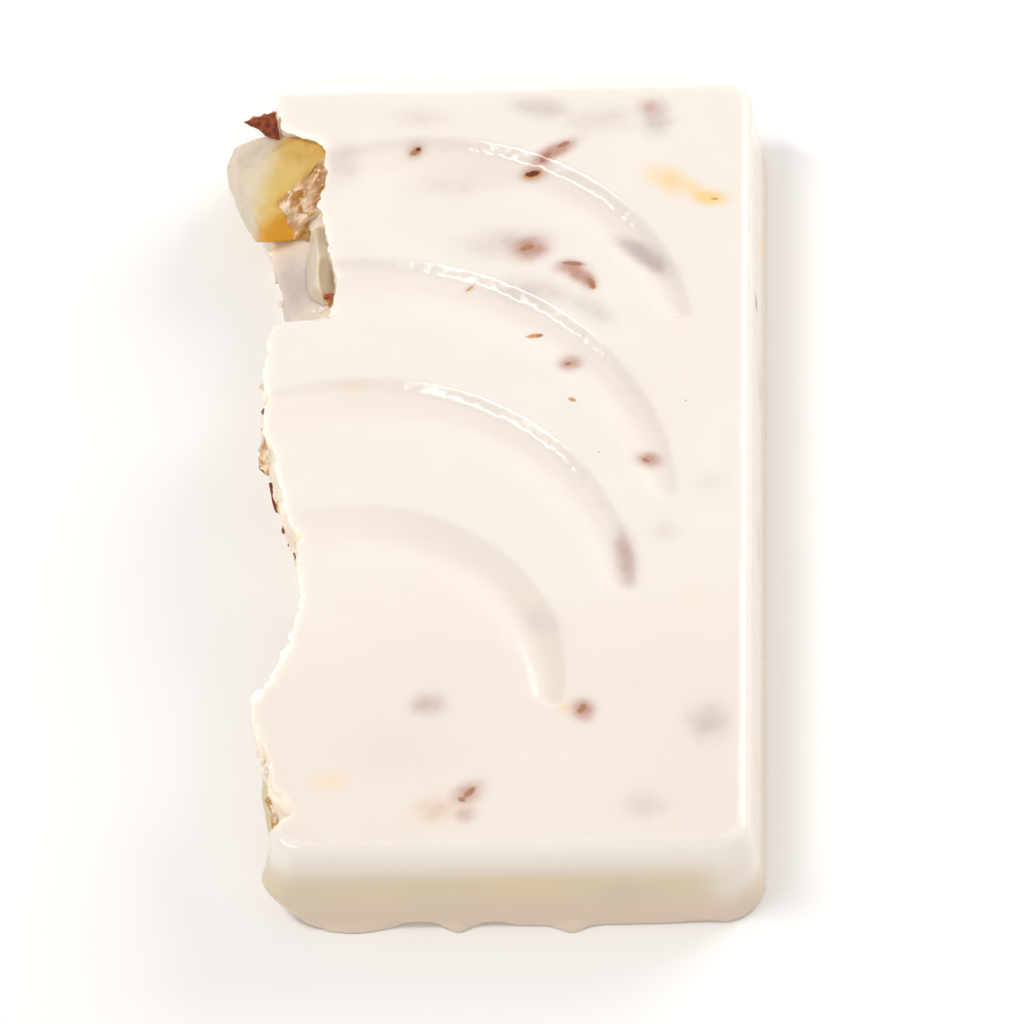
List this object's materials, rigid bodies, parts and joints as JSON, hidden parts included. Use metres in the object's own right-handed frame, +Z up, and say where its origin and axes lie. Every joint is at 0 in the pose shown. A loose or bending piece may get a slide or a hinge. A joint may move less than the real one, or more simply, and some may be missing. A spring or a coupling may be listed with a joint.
{
  "type": "white chocolate almond bark piece",
  "caption": "Snapped end piece of a moulded white chocolate bar with a crescent wave relief and chopped almonds standing in its broken side.",
  "frame": {"origin": "middle of the whole piece's box, on the surface it lies on", "axes": "+Z up out of the moulded face, +Y along the bar's length to the far moulded end, +X towards the moulded long side, -X towards the break"},
  "size_m": [0.0458, 0.0822, 0.0096],
  "materials": {
    "white_chocolate": "tempered white chocolate with a soft satin gloss, slightly see-through, with almond shadows under the surface",
    "almond": "cut almond, ivory to golden, waxy on the cut faces and rough where the skin came off",
    "almond_skin": "dry wrinkled red-brown almond skin"
  },
  "bodies": {
    "root": {"chocolate": "white_chocolate", "almond_chunk": "almond", "almond_sliver": "almond", "almond_side": "almond", "almond_half": "almond", "almond_corner": "almond", "almond_skin": "almond_skin"}
  },
  "joints": []
}
